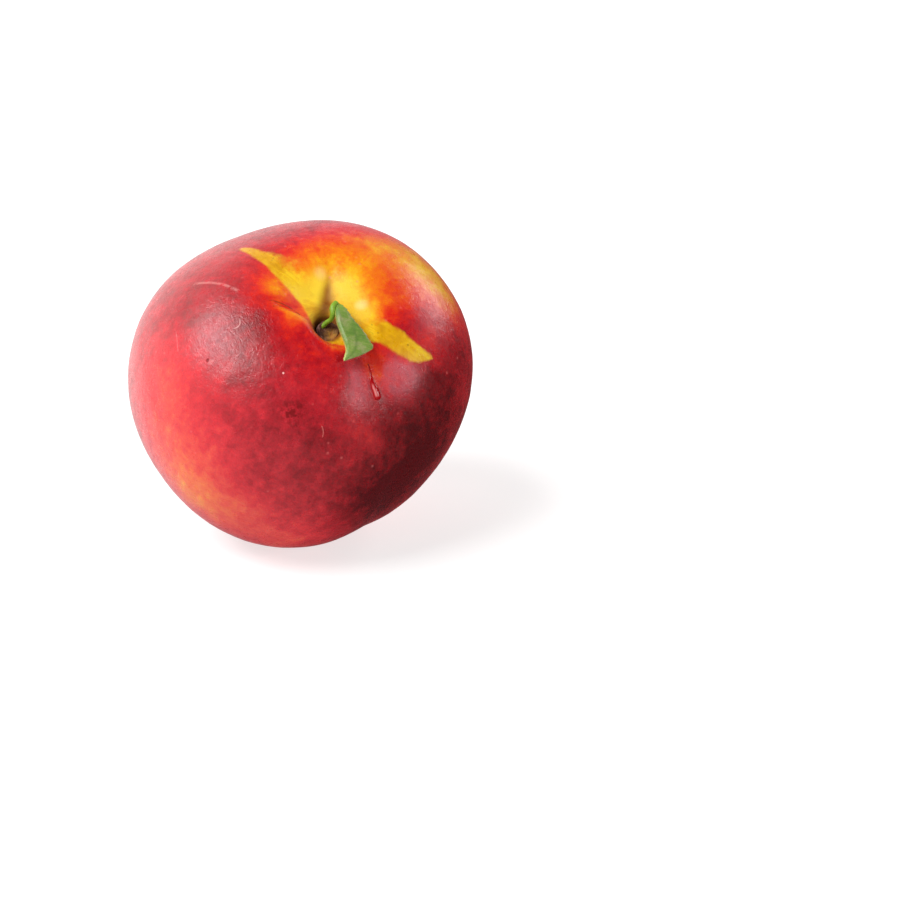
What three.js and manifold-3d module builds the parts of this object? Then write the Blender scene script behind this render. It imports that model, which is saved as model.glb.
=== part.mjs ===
// A whole nectarine that rests on a small flat spot, with the woody stub of its stalk in the
// stem cavity and one small folded leaf on the stub. Millimetres, +Z up, origin at the centre
// of the resting spot. The stem end leans forward, towards -Y.
//
// Each piece is shaped in the fruit's own frame: its origin is the middle of the fruit, +Z
// runs out of the stem cavity, and a direction is given by two angles in degrees, "down"
// from that stem axis and "round" it. Close to the axis, x and y are the same two angles
// laid out flat, as on a map with the stem axis at its middle.
import * as THREE from "three";
import { mergeVertices } from "three/addons/utils/BufferGeometryUtils.js";
import Module from "manifold-3d";

// Driving dimensions. Depths, rises and shares are parts of the mean radius, angles and
// widths on the skin are degrees, and all other lengths are millimetres.
const meanRadius = 34;
const body = { cheek: 1.035, suture: 1.055, stem: 0.91, tip: 0.978, squareness: 2.15 };
const cheekRound = 50; // the way the two cheeks face; the suture is a quarter turn before it
const swells = [
  { down: 58, round: 48, rise: 0.1, width: 46 }, // full right shoulder
  { down: 70, round: -130, rise: 0.03, width: 50 }, // front left cheek
  { down: 62, round: 135, rise: -0.06, width: 42 }, // low back shoulder
  { down: 150, round: 35, rise: 0.06, width: 44 }, // heavy underside
  { down: 95, round: -20, rise: -0.06, width: 45 }, // slack flank beside the suture
];
const suture = { depth: 0.014, width: 10, creaseDepth: 0.006, creaseWidth: 2.2 };
const sutureDip = { depth: 0.036, down: 34, width: 22 }; // where the suture crosses the shoulder
const backValley = { round: 104, depth: 0.045, width: 4.6, from: 8, to: 27 };
const branchMarks = [
  { round: -6, depth: 0.022, width: 8, reach: 46 },
  { round: 158, depth: 0.026, width: 8, reach: 44 },
];
const lip = { x: 7.5, y: -10, reach: 8.7, width: 10, from: -26, to: 25 };
const lipStep = { drop: 0.034, rise: 0.014, near: 2.2, far: 9 };
const bowl = { depth: 0.125, width: 20, power: 1.7 };
const hole = { x: 3.4, y: -10.5, depth: 0.17, width: 5.7, power: 2.6 };
const blossomEnd = { hollow: 0.018, hollowWidth: 13, point: 0.01, pointWidth: 2.6 };

const lean = 36.5; // of the stem axis from upright
const leanTowards = -64.3; // the way it leans, round from +X
const spin = 54.1; // of the fruit about its stem axis
const fruitCentre = new THREE.Vector3(1.3, 2.4, 34.3); // over the middle of the resting spot

const gap = 0.4; // between pieces that touch
const stub = { foot: [1.18, -3.25, 20.98], top: [2, -5.03, 26.01], radius: 2.3, flare: 0.3 };
const petiole = {
  radius: 0.58,
  socketFloor: [0.5, -4.05, 24.2],
  root: [0.52, -4.15, 24.5],
  bends: [
    [0.5, -4.42, 25.75],
    [0.96, -3.89, 26.81],
    [1.7, -3.43, 28.17],
    [1.64, -2.77, 29.25],
    [1.21, -1.56, 29.6],
  ],
};
const midrib = [
  [1.53, -0.23, 29.58],
  [2.49, -2.63, 30.3],
  [3.59, -4.81, 30.18],
  [4.99, -6.83, 30.05],
  [6.28, -8.6, 29.91],
  [7.2, -11.27, 30.35],
  [7.19, -13.53, 29.67],
];
const blade = {
  reachesTowards: [0.82, 0.57, 0.1], // the way the open half spreads from the midrib
  // Each half is widest at a share of the way to the tip; the fuller, the blunter its end.
  openHalf: { width: 5.1, widestAt: 0.85, fullness: 3 },
  foldedHalf: { width: 1.4, widestAt: 0.3, fullness: 2 },
  taper: 0.75,
  foldAngle: 125,
  foldLength: 1.2, // of the bend beside the midrib
  thickness: 0.6,
  ribThickness: 0.9,
  ribHalfWidth: 0.25,
  droop: 0.016, // per mm, times the distance from the midrib squared
  wave: 0.22,
  waves: 2.5,
  teeth: 11,
  toothDepth: 0.22,
};
const skinColour = "#c2303a";
const stubColour = "#6b5a3a";
const leafColour = "#6f9a55";

const fruitRings = 56;
const fruitSlices = 64;
const ringCrowding = 1.5; // above 1, the rings crowd towards the stem end
const rowsPerTooth = 3;
const bladeColumns = [-1, -0.75, -0.5, -0.3, -0.15, 0, 0.12, 0.3, 0.5, 0.7, 0.87, 1];

const wasm = await Module();
wasm.setup();

const { degToRad, radToDeg, clamp, smoothstep } = THREE.MathUtils;
const point = (xyz) => new THREE.Vector3(...xyz);
const bell = (x, width) => Math.exp(-((x / width) ** 2));

// The cavity and branch marks run along rays from the stem axis: how far a spot of the
// flattened map lies along such a ray, and how far to its side.
function alongRay(x, y, round) {
  const c = Math.cos(degToRad(round));
  const s = Math.sin(degToRad(round));
  return { along: x * c + y * s, aside: y * c - x * s };
}

function direction(down, round) {
  const d = degToRad(down);
  const r = degToRad(round);
  return new THREE.Vector3(Math.sin(d) * Math.cos(r), Math.sin(d) * Math.sin(r), Math.cos(d));
}

// The smooth body: a squarish ellipsoid, flatter at the stem end, with broad swells.
function bodyRadius(n, acrossSuture, alongSuture) {
  const axial = body.tip + (body.stem - body.tip) * smoothstep(n.z, -0.5, 0.5);
  const p = body.squareness;
  const sum =
    Math.abs(acrossSuture / body.cheek) ** p +
    Math.abs(alongSuture / body.suture) ** p +
    Math.abs(n.z / axial) ** p;
  const smooth = sum ** (-1 / p);
  return swells.reduce((r, swell) => {
    const away = radToDeg(n.angleTo(direction(swell.down, swell.round)));
    return r * (1 + swell.rise * bell(away, swell.width));
  }, smooth);
}

function sutureDepth(down, acrossSuture, alongSuture) {
  const side = radToDeg(Math.asin(clamp(acrossSuture, -1, 1)));
  const dip = sutureDip.depth * bell(down - sutureDip.down, sutureDip.width);
  const groove = suture.depth * smoothstep(down, 20, 60);
  const crease = suture.creaseDepth * bell(side, suture.creaseWidth) * smoothstep(down, 14, 25);
  const onSutureSide = smoothstep(alongSuture, -0.02, 0.1);
  return onSutureSide * ((dip + groove) * bell(side, suture.width) + crease);
}

// A soft-bottomed V that runs from the hole up the back wall of the cavity.
function backValleyDepth(x, y, down) {
  const { along, aside } = alongRay(x, y, backValley.round);
  const softness = 0.15;
  const profile = Math.exp(
    Math.sqrt(softness) - Math.sqrt((aside / backValley.width) ** 2 + softness),
  );
  const end = 1 - smoothstep(down, backValley.from, backValley.to);
  return backValley.depth * profile * end * smoothstep(along, -2, 6);
}

// The two shallow channels where the branch pressed on the growing fruit.
function branchMarkDepth(x, y, down) {
  return branchMarks.reduce((sum, mark) => {
    const { along, aside } = alongRay(x, y, mark.round);
    const end = 1 - smoothstep(down, mark.reach - 22, mark.reach);
    return sum + mark.depth * bell(aside, mark.width) * smoothstep(along, 2, 12) * end;
  }, 0);
}

// The front edge of the cavity: a raised lip, with a sharp step down behind it that climbs
// back slowly.
function lipDepth(x, y) {
  const behind = y - lip.y + lip.reach * bell(x - lip.x, lip.width);
  const ends = smoothstep(x, lip.from, lip.from + 16) * (1 - smoothstep(x, lip.to - 12, lip.to));
  const step = smoothstep(behind, -lipStep.near, lipStep.near);
  const climb = Math.exp(-Math.max(behind, 0) / lipStep.far);
  const ridge = lipStep.rise * bell(behind + lipStep.near * 1.6, lipStep.near * 1.8);
  return (lipStep.drop * step * climb - ridge) * ends;
}

function cavityDepth(x, y, down) {
  const fromHole = Math.hypot(x - hole.x, y - hole.y);
  return (
    bowl.depth * Math.exp(-((down / bowl.width) ** bowl.power)) +
    hole.depth * Math.exp(-((fromHole / hole.width) ** hole.power))
  );
}

function blossomEndDepth(down) {
  const up = 180 - down;
  const { hollow, hollowWidth, point: peak, pointWidth } = blossomEnd;
  return hollow * bell(up, hollowWidth) - peak * bell(up, pointWidth);
}

// Distance from the fruit's middle to its skin in the unit direction n.
function skinRadius(n) {
  const down = radToDeg(Math.acos(clamp(n.z, -1, 1)));
  const round = Math.atan2(n.y, n.x);
  const x = down * Math.cos(round);
  const y = down * Math.sin(round);
  const cheek = degToRad(cheekRound);
  const acrossSuture = n.x * Math.cos(cheek) + n.y * Math.sin(cheek);
  const alongSuture = n.x * Math.sin(cheek) - n.y * Math.cos(cheek);
  const depth =
    sutureDepth(down, acrossSuture, alongSuture) +
    backValleyDepth(x, y, down) +
    branchMarkDepth(x, y, down) +
    lipDepth(x, y) +
    cavityDepth(x, y, down) +
    blossomEndDepth(down);
  return meanRadius * bodyRadius(n, acrossSuture, alongSuture) * (1 - depth);
}

// A geometry with shared vertices merged, as a solid that can be joined and cut.
function solid(geometry) {
  geometry.deleteAttribute("normal");
  geometry.deleteAttribute("uv");
  const merged = mergeVertices(geometry, 1e-5);
  return new wasm.Manifold(
    new wasm.Mesh({
      numProp: 3,
      vertProperties: new Float32Array(merged.attributes.position.array),
      triVerts: new Uint32Array(merged.index.array),
    }),
  );
}

function meshOf(name, made, colour, roughness) {
  const { vertProperties, numProp, triVerts } = made.getMesh();
  const positions = new Float32Array((vertProperties.length / numProp) * 3);
  for (let i = 0; i < positions.length / 3; i++)
    positions.set(vertProperties.subarray(i * numProp, i * numProp + 3), i * 3);
  const geometry = new THREE.BufferGeometry();
  geometry.setAttribute("position", new THREE.BufferAttribute(positions, 3));
  geometry.setIndex(new THREE.BufferAttribute(triVerts, 1));
  geometry.computeVertexNormals();
  const material = new THREE.MeshStandardMaterial({ color: colour, roughness, metalness: 0 });
  const mesh = new THREE.Mesh(geometry, material);
  mesh.name = name;
  return mesh;
}

// A unit ball, mapped vertex by vertex: its poles lie on Z.
function mappedBall(slices, rings, place) {
  const geometry = new THREE.SphereGeometry(1, slices, rings).rotateX(Math.PI / 2);
  const position = geometry.attributes.position;
  const n = new THREE.Vector3();
  for (let i = 0; i < position.count; i++) {
    place(n.fromBufferAttribute(position, i));
    position.setXYZ(i, n.x, n.y, n.z);
  }
  return geometry;
}

function fruitGeometry() {
  return mappedBall(fruitSlices, fruitRings, (n) => {
    const share = Math.acos(clamp(n.z, -1, 1)) / Math.PI;
    const round = radToDeg(Math.atan2(n.y, n.x));
    n.copy(direction(180 * share ** ringCrowding, round));
    n.multiplyScalar(skinRadius(n));
  });
}

// The stub of the stalk, a knobbly tapered peg, grown by a clearance to make its socket.
function stubGeometry(clearance) {
  const foot = point(stub.foot);
  const axis = point(stub.top).sub(foot);
  const length = axis.length() + clearance;
  const geometry = new THREE.CylinderGeometry(1, 1, length + clearance, 24, 8);
  geometry.translate(0, (length - clearance) / 2, 0);
  const position = geometry.attributes.position;
  for (let i = 0; i < position.count; i++) {
    const x = position.getX(i);
    const z = position.getZ(i);
    const up = clamp(position.getY(i) / length, 0, 1);
    const angle = Math.atan2(z, x);
    const knobs = 0.09 * Math.sin(3 * angle + 4 * up) + 0.07 * Math.sin(5 * angle - 7 * up);
    const collar = stub.flare * bell(up - 0.78, 0.16);
    const radius = stub.radius * (0.86 + 0.06 * up) + collar + knobs + clearance;
    position.setX(i, x * radius);
    position.setZ(i, z * radius);
  }
  const stand = new THREE.Quaternion().setFromUnitVectors(
    new THREE.Vector3(0, 1, 0),
    axis.normalize(),
  );
  return geometry.applyQuaternion(stand).translate(...stub.foot);
}

// The petiole's tube, or with a clearance the socket for its root in the stub.
function petioleGeometry(bends, radius) {
  const path = new THREE.CatmullRomCurve3(bends.map(point), false, "centripetal");
  const outline = new THREE.Shape().absarc(0, 0, radius, 0, 2 * Math.PI);
  return new THREE.ExtrudeGeometry(outline, {
    curveSegments: 5,
    steps: 4 * bends.length,
    extrudePath: path,
  });
}

// How wide one half of the blade is, as a share, from its base at 0 to its tip at 1.
function halfWidthShare(along, { widestAt, fullness }) {
  if (along < widestAt) return (along / widestAt) ** blade.taper;
  return 1 - ((along - widestAt) / (1 - widestAt)) ** fullness;
}

// A spot of the blade's middle surface and its normal there: along runs from base to tip,
// across from the folded half's edge at -1, over the midrib at 0, to the open edge at 1.
function bladeSpot(rib, along, across) {
  const origin = rib.getPointAt(along);
  const tangent = rib.getTangentAt(along);
  const out = point(blade.reachesTowards).normalize();
  const up = new THREE.Vector3().crossVectors(tangent, out).normalize();
  const tooth = (along * blade.teeth) % 1;
  const toothed = blade.toothDepth * tooth * Math.abs(across) ** 3 * (along < 0.97 ? 1 : 0);
  const half = across < 0 ? blade.foldedHalf : blade.openHalf;
  const share = halfWidthShare(along, half);
  const distance = Math.abs(across) * (blade.ribHalfWidth + half.width * share) + toothed;
  if (across >= 0) {
    const ripple = blade.wave * Math.sin(2 * Math.PI * blade.waves * along) * across ** 2;
    const lift = ripple * share - blade.droop * distance ** 2;
    const slope = 2 * blade.droop * distance;
    return {
      spot: origin.addScaledVector(out, distance).addScaledVector(up, lift),
      normal: up.clone().addScaledVector(out, slope).normalize(),
    };
  }
  // The folded half turns down through an arc beside the midrib, then runs straight.
  const foldAngle = degToRad(blade.foldAngle);
  const bend = Math.min(distance, blade.foldLength);
  const radius = blade.foldLength / foldAngle;
  const turned = bend / radius;
  const aside = radius * Math.sin(turned) + (distance - bend) * Math.cos(turned);
  const sunk = radius * (1 - Math.cos(turned)) + (distance - bend) * Math.sin(turned);
  return {
    spot: origin.addScaledVector(out, -aside).addScaledVector(up, -sunk),
    normal: up.clone().multiplyScalar(Math.cos(turned)).addScaledVector(out, -Math.sin(turned)),
  };
}

// The blade as one closed sheet: an upper and a lower grid split alike, and its rim.
function bladeGeometry() {
  const rib = new THREE.CatmullRomCurve3(midrib.map(point), false, "centripetal");
  const rows = blade.teeth * rowsPerTooth;
  const columns = bladeColumns.length;
  const count = (rows + 1) * columns;
  const positions = [];
  for (const side of [1, -1])
    for (let row = 0; row <= rows; row++)
      for (const across of bladeColumns) {
        const along = row / rows;
        const { spot, normal } = bladeSpot(rib, along, across);
        const rise = (blade.ribThickness - blade.thickness) * bell(across, 0.15) * (1 - along);
        spot.addScaledVector(normal, (side * (blade.thickness + rise)) / 2);
        positions.push(spot.x, spot.y, spot.z);
      }
  const index = [];
  const quad = (a, b, c, d) => index.push(a, b, c, a, c, d);
  const at = (row, column) => row * columns + column;
  for (let row = 0; row < rows; row++)
    for (let column = 0; column < columns - 1; column++) {
      const corners = [
        at(row, column),
        at(row + 1, column),
        at(row + 1, column + 1),
        at(row, column + 1),
      ];
      const [a, b, c, d] = corners;
      const [e, f, g, h] = corners.map((corner) => corner + count);
      quad(a, b, c, d);
      index.push(e, g, f, e, h, g);
    }
  const wall = (a, b) => quad(a, a + count, b + count, b);
  for (let row = 0; row < rows; row++) {
    wall(at(row, 0), at(row + 1, 0));
    wall(at(row + 1, columns - 1), at(row, columns - 1));
  }
  for (let column = 0; column < columns - 1; column++) {
    wall(at(0, column + 1), at(0, column));
    wall(at(rows, column), at(rows, column + 1));
  }
  const geometry = new THREE.BufferGeometry();
  geometry.setAttribute("position", new THREE.Float32BufferAttribute(positions, 3));
  geometry.setIndex(index);
  return geometry;
}

// The fruit's frame set leaning on the surface.
const pose = new THREE.Matrix4()
  .makeTranslation(fruitCentre.x, fruitCentre.y, fruitCentre.z)
  .multiply(new THREE.Matrix4().makeRotationZ(degToRad(leanTowards)))
  .multiply(new THREE.Matrix4().makeRotationY(degToRad(lean)))
  .multiply(new THREE.Matrix4().makeRotationZ(degToRad(spin)));
const posed = (geometry) => solid(geometry.applyMatrix4(pose));

const under = new THREE.BoxGeometry(60, 60, 10).translate(0, 0, -5);
const fruitSolid = posed(fruitGeometry()).subtract(posed(stubGeometry(gap))).subtract(solid(under));

const rootPath = [petiole.socketFloor, petiole.root, ...petiole.bends.slice(0, 3)];
const rootSocket = posed(petioleGeometry(rootPath, petiole.radius + gap));
const stubSolid = posed(stubGeometry(0)).subtract(rootSocket);

const stem = posed(petioleGeometry([petiole.root, ...petiole.bends, midrib[0]], petiole.radius));
const leafSolid = stem.add(posed(bladeGeometry()));

const nectarine = new THREE.Group();
nectarine.add(
  meshOf("fruit", fruitSolid, skinColour, 0.38),
  meshOf("stalk", stubSolid, stubColour, 0.85),
  meshOf("leaf", leafSolid, leafColour, 0.55),
);

export default nectarine;
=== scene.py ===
# A nectarine resting on a pale floor, dressed over its CAD frame.
import math
import bpy
import numpy as np
from mathutils import Matrix, Vector, noise


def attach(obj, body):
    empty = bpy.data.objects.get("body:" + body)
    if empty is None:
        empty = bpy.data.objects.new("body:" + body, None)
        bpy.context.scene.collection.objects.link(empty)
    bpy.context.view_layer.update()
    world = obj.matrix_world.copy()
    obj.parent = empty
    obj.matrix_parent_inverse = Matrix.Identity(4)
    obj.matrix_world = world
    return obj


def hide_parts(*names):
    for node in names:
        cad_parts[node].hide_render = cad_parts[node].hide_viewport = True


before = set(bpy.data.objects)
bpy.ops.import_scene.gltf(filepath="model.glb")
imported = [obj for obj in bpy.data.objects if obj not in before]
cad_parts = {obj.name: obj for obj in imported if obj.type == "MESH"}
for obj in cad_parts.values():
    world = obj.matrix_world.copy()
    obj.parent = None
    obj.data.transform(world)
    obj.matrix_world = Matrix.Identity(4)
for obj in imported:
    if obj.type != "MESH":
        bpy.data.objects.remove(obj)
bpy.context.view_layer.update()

mm = 0.001


def bell(x, width):
    return np.exp(-(x / width) ** 2)


def ramp(start, end, x):
    t = np.clip((x - start) / (end - start), 0, 1)
    return t * t * (3 - 2 * t)


def direction(down, bearing):  # degrees down from the stem, and round it
    d, b = np.radians(down), np.radians(bearing)
    return np.stack([np.sin(d) * np.cos(b), np.sin(d) * np.sin(b), np.cos(d) + 0 * b], -1)


def degreesFrom(n, down, bearing):
    return np.degrees(np.arccos(np.clip(n @ direction(down, bearing), -1, 1)))


def flatMap(n):  # the skin spread out flat round the stem, with x and y in degrees
    down = np.degrees(np.arccos(np.clip(n[..., 2], -1, 1)))
    bearing = np.arctan2(n[..., 1], n[..., 0])
    return down, bearing, down * np.cos(bearing), down * np.sin(bearing)


def alongRay(x, y, bearing):  # how far along a line from the stem, and how far beside it
    c, s = math.cos(math.radians(bearing)), math.sin(math.radians(bearing))
    return x * c + y * s, y * c - x * s


def paint(red, green, blue):  # screen values, 0 to 255, as a linear colour
    def toLinear(value):
        v = value / 255
        return v / 12.92 if v <= 0.04045 else ((v + 0.055) / 1.055) ** 2.4
    return (toLinear(red), toLinear(green), toLinear(blue), 1.0)


def meshObject(name, verts, faces, material):
    mesh = bpy.data.meshes.new(name)
    mesh.from_pydata([tuple(v) for v in verts], [], faces)
    mesh.validate()
    mesh.shade_smooth()
    mesh.materials.append(material)
    made = bpy.data.objects.new(name, mesh)
    bpy.context.scene.collection.objects.link(made)
    return made


def store(made, name, values):  # a number or a vector for each vertex
    values = np.asarray(values, dtype=np.float32)
    kind, field = ("FLOAT_VECTOR", "vector") if values.ndim == 2 else ("FLOAT", "value")
    made.data.attributes.new(name, kind, "POINT").data.foreach_set(field, values.ravel())


view = {
    "elevation": 22.0,  # degrees the camera looks down
    "distance": 0.600,  # from the middle of the fruit
    "lens": 111.6,
    "sensor": 36.0,
    "farthest": 20,
    "pictureSide": 900,
    "fruitAt": (299.0, 380.8),  # where the middle of the fruit shows, in pixels
}
fruit = {
    # Depths, drops and rises are shares of the radius, and so are waist and side, which are heights
    # above the middle planes. Other places and widths on the skin are in degrees. A pair is where
    # something starts to come or go and where it is done.
    "meanRadius": 34 * mm,
    "centre": Vector((1.3, 2.4, 34.3)) * mm,
    "lean": 36.5,
    "leanTowards": -64.3,
    "spin": 54.1,
    "body": {"cheek": 1.035, "suture": 1.055, "stem": 0.91, "tip": 0.978, "squareness": 2.15},
    "waist": (-0.5, 0.5),  # where the tip half turns into the stem half
    "cheekBearing": 50,
    "swells": [  # down, bearing, rise, width
        (58, 48, 0.10, 46),
        (70, -130, 0.03, 50),
        (62, 135, -0.06, 42),
        (150, 35, 0.06, 44),
        (95, -20, -0.06, 45),
    ],
    "suture": {"depth": 0.014, "width": 10, "start": (20, 60), "side": (-0.02, 0.1)},
    "sutureCrease": {"depth": 0.003, "width": 2.6, "start": (14, 25)},
    "sutureDip": {"depth": 0.036, "down": 34, "width": 22},
    "backValley": {"bearing": 104, "depth": 0.045, "width": 4.6, "softness": 0.40, "start": (-2, 6),
                   "end": (8, 27)},
    "branchMarks": [(-6, 0.022, 8, (24, 46)), (158, 0.026, 8, (22, 44))],  # bearing, depth, width, end
    "branchMarkStart": (2, 12),
    "lip": {"x": 7.5, "y": -10, "reach": 8.7, "width": 10, "start": (-26, -10), "end": (13, 25)},
    "lipStep": {"drop": 0.034, "near": 2.2, "far": 9, "rise": 0.014, "ridgeAhead": 3.52, "ridgeWidth": 3.96},
    "fold": {"depth": 0.012, "behind": 0.4, "width": 0.55, "start": (-21, -17), "end": (-9, -4)},
    "bowl": {"depth": 0.125, "width": 20, "power": 1.7},
    "hole": {"x": 3.4, "y": -10.5, "depth": 0.17, "width": 5.7, "power": 2.6},
    "blossomEnd": {"hollow": 0.018, "hollowWidth": 13, "point": 0.01, "pointWidth": 2.6},
    "rings": 240,
    "slices": 352,
    "crowding": 1.5,  # of the rings towards the stem
    "lumps": [(9, 0.05 * mm, (0, 0, 0)), (23, 0.025 * mm, (4, 0, 2))],  # fineness, height, shift of the noise
}

toRow = (
    Matrix.Translation(fruit["centre"])
    @ Matrix.Rotation(math.radians(fruit["leanTowards"]), 4, "Z")
    @ Matrix.Rotation(math.radians(fruit["lean"]), 4, "Y")
    @ Matrix.Rotation(math.radians(fruit["spin"]), 4, "Z")
)


def placeRow(points):  # from the fruit's own frame into the row's, in metres
    return np.asarray(points) @ np.array(toRow.to_3x3()).T + np.array(toRow.translation)


def cameraWay(right, up, near):  # a way given by how it goes in the camera's view
    tilt = math.radians(view["elevation"])
    upward = Vector((0, math.sin(tilt), math.cos(tilt)))
    towards = Vector((0, -math.cos(tilt), math.sin(tilt)))
    return Vector((right, 0, 0)) + upward * up + towards * near


def makeCamera():
    pixels = view["lens"] / view["sensor"] * view["pictureSide"]
    aside = (view["fruitAt"][0] - view["pictureSide"] / 2) / pixels
    above = (view["pictureSide"] / 2 - view["fruitAt"][1]) / pixels
    data = bpy.data.cameras.new("camera")
    data.lens = view["lens"]
    data.sensor_width = view["sensor"]
    data.clip_end = view["farthest"]
    made = bpy.data.objects.new("camera", data)
    made.location = fruit["centre"] + view["distance"] * cameraWay(-aside, -above, 1)
    made.rotation_euler = (math.radians(90 - view["elevation"]), 0, 0)
    bpy.context.scene.collection.objects.link(made)
    bpy.context.scene.camera = made


makeCamera()
print("camera set")


def newMaterial(name, settings):
    material = bpy.data.materials.new(name)
    material.use_nodes = True
    tree = material.node_tree
    tree.nodes.clear()
    output = tree.nodes.new("ShaderNodeOutputMaterial")
    shader = tree.nodes.new("ShaderNodeBsdfPrincipled")
    tree.links.new(shader.outputs[0], output.inputs["Surface"])
    for socket, value in settings.items():
        shader.inputs[socket].default_value = value
    return material, tree, shader


def feed(tree, socket, value):
    if isinstance(value, bpy.types.NodeSocket):
        tree.links.new(value, socket)
    else:
        socket.default_value = value


def put(tree, kind, props=None, **feeds):
    made = tree.nodes.new("ShaderNode" + kind)
    for name, value in (props or {}).items():
        setattr(made, name, value)
    for name, value in feeds.items():
        feed(tree, made.inputs[name], value)
    return made


def reckon(tree, kind, operation, *values):  # kind is Math or VectorMath
    made = put(tree, kind, {"operation": operation})
    for socket, value in zip(made.inputs, values):
        feed(tree, socket, value)
    return made


def number(tree, operation, *values):
    return reckon(tree, "Math", operation, *values).outputs[0]


def times(tree, first, *others):
    for other in others:
        first = number(tree, "MULTIPLY", first, other)
    return first


def plus(tree, first, *others):
    for other in others:
        first = number(tree, "ADD", first, other)
    return first


def softStep(tree, value, start, end, low=0.0, high=1.0):
    made = put(tree, "MapRange", {"interpolation_type": "SMOOTHSTEP"})
    for socket, given in zip(made.inputs[:5], (value, start, end, low, high)):
        feed(tree, socket, given)
    return made.outputs[0]


def blend(tree, share, first, second):
    made = put(tree, "Mix", {"data_type": "RGBA"})
    for socket, value in ((0, share), (6, first), (7, second)):
        feed(tree, made.inputs[socket], value)
    return made.outputs[2]


def tint(tree, share, colour, tone):
    return blend(tree, share, colour, paint(*tone))


def colourRamp(tree, value, stops):
    made = put(tree, "ValToRGB", Fac=value)
    elements = made.color_ramp.elements
    while len(elements) < len(stops):
        elements.new(0.5)
    for element, (position, tone) in zip(elements, stops):
        element.position = position
        element.color = paint(*tone)
    return made.outputs[0]


def grain(tree, vector, scale, detail=2.0, rough=0.5, warp=0.0):
    made = put(tree, "TexNoise", Vector=vector, Scale=scale, Detail=detail, Roughness=rough, Distortion=warp)
    return made.outputs[0]


def mixed(tree, noises, weights, middle=0.0):  # the named noises, less their middle, weighed and added up
    parts = []
    for name, weight in weights.items():
        part = number(tree, "SUBTRACT", noises[name], middle) if middle else noises[name]
        parts.append(times(tree, part, weight))
    return plus(tree, *parts)


def attribute(tree, name, output="Fac"):
    return put(tree, "Attribute", {"attribute_name": name}).outputs[output]


def objectPlace(tree):
    return put(tree, "TexCoord").outputs["Object"]


def stretched(tree, vector, scale):
    return reckon(tree, "VectorMath", "MULTIPLY", vector, scale).outputs[0]


def addBump(tree, shader, strength, distance, height):
    bump = put(tree, "Bump", Strength=strength, Distance=distance, Height=height)
    feed(tree, shader.inputs["Normal"], bump.outputs[0])


def bodyRadius(n, across, along):
    b = fruit["body"]
    axial = b["tip"] + (b["stem"] - b["tip"]) * ramp(*fruit["waist"], n[..., 2])
    p = b["squareness"]
    total = abs(across / b["cheek"]) ** p + abs(along / b["suture"]) ** p + abs(n[..., 2] / axial) ** p
    radius = total ** (-1 / p)
    for down, bearing, rise, width in fruit["swells"]:
        radius = radius * (1 + rise * bell(degreesFrom(n, down, bearing), width))
    return radius


def sutureDepth(down, across, along):
    suture, crease, dip = fruit["suture"], fruit["sutureCrease"], fruit["sutureDip"]
    side = np.degrees(np.arcsin(np.clip(across, -1, 1)))
    dipped = dip["depth"] * bell(down - dip["down"], dip["width"])
    groove = dipped + suture["depth"] * ramp(*suture["start"], down)
    line = crease["depth"] * bell(side, crease["width"]) * ramp(*crease["start"], down)
    return ramp(*suture["side"], along) * (groove * bell(side, suture["width"]) + line)


def backValleyDepth(x, y, down):
    v = fruit["backValley"]
    along, aside = alongRay(x, y, v["bearing"])
    profile = np.exp(math.sqrt(v["softness"]) - np.sqrt((aside / v["width"]) ** 2 + v["softness"]))
    return v["depth"] * profile * (1 - ramp(*v["end"], down)) * ramp(*v["start"], along)


def branchMarkDepth(x, y, down):
    total = 0
    for bearing, depth, width, end in fruit["branchMarks"]:
        along, aside = alongRay(x, y, bearing)
        start = ramp(*fruit["branchMarkStart"], along)
        total = total + depth * bell(aside, width) * start * (1 - ramp(*end, down))
    return total


def behindLip(x, y):
    p = fruit["lip"]
    return y - p["y"] + p["reach"] * bell(x - p["x"], p["width"])


def lipDepth(x, y):
    p, step = fruit["lip"], fruit["lipStep"]
    behind = behindLip(x, y)
    ends = ramp(*p["start"], x) * (1 - ramp(*p["end"], x))
    drop = ramp(-step["near"], step["near"], behind) * np.exp(-np.maximum(behind, 0) / step["far"])
    ridge = bell(behind + step["ridgeAhead"], step["ridgeWidth"])
    return (step["drop"] * drop - step["rise"] * ridge) * ends


def foldDepth(x, y):  # a fine fold behind the left end of the lip
    f = fruit["fold"]
    ends = ramp(*f["start"], x) * (1 - ramp(*f["end"], x))
    return f["depth"] * bell(behindLip(x, y) - f["behind"], f["width"]) * ends


def cavityDepth(x, y, down):
    bowl, hole = fruit["bowl"], fruit["hole"]
    away = np.hypot(x - hole["x"], y - hole["y"])
    return (bowl["depth"] * np.exp(-(down / bowl["width"]) ** bowl["power"])
            + hole["depth"] * np.exp(-(away / hole["width"]) ** hole["power"]))


def blossomEndDepth(down):
    e = fruit["blossomEnd"]
    return e["hollow"] * bell(180 - down, e["hollowWidth"]) - e["point"] * bell(180 - down, e["pointWidth"])


def skinRadius(n):
    down, _, x, y = flatMap(n)
    cheek = math.radians(fruit["cheekBearing"])
    across = n[..., 0] * math.cos(cheek) + n[..., 1] * math.sin(cheek)
    along = n[..., 0] * math.sin(cheek) - n[..., 1] * math.cos(cheek)
    depth = (sutureDepth(down, across, along) + backValleyDepth(x, y, down)
             + branchMarkDepth(x, y, down) + lipDepth(x, y) + foldDepth(x, y)
             + cavityDepth(x, y, down) + blossomEndDepth(down))
    return fruit["meanRadius"] * bodyRadius(n, across, along) * (1 - depth)


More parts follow.
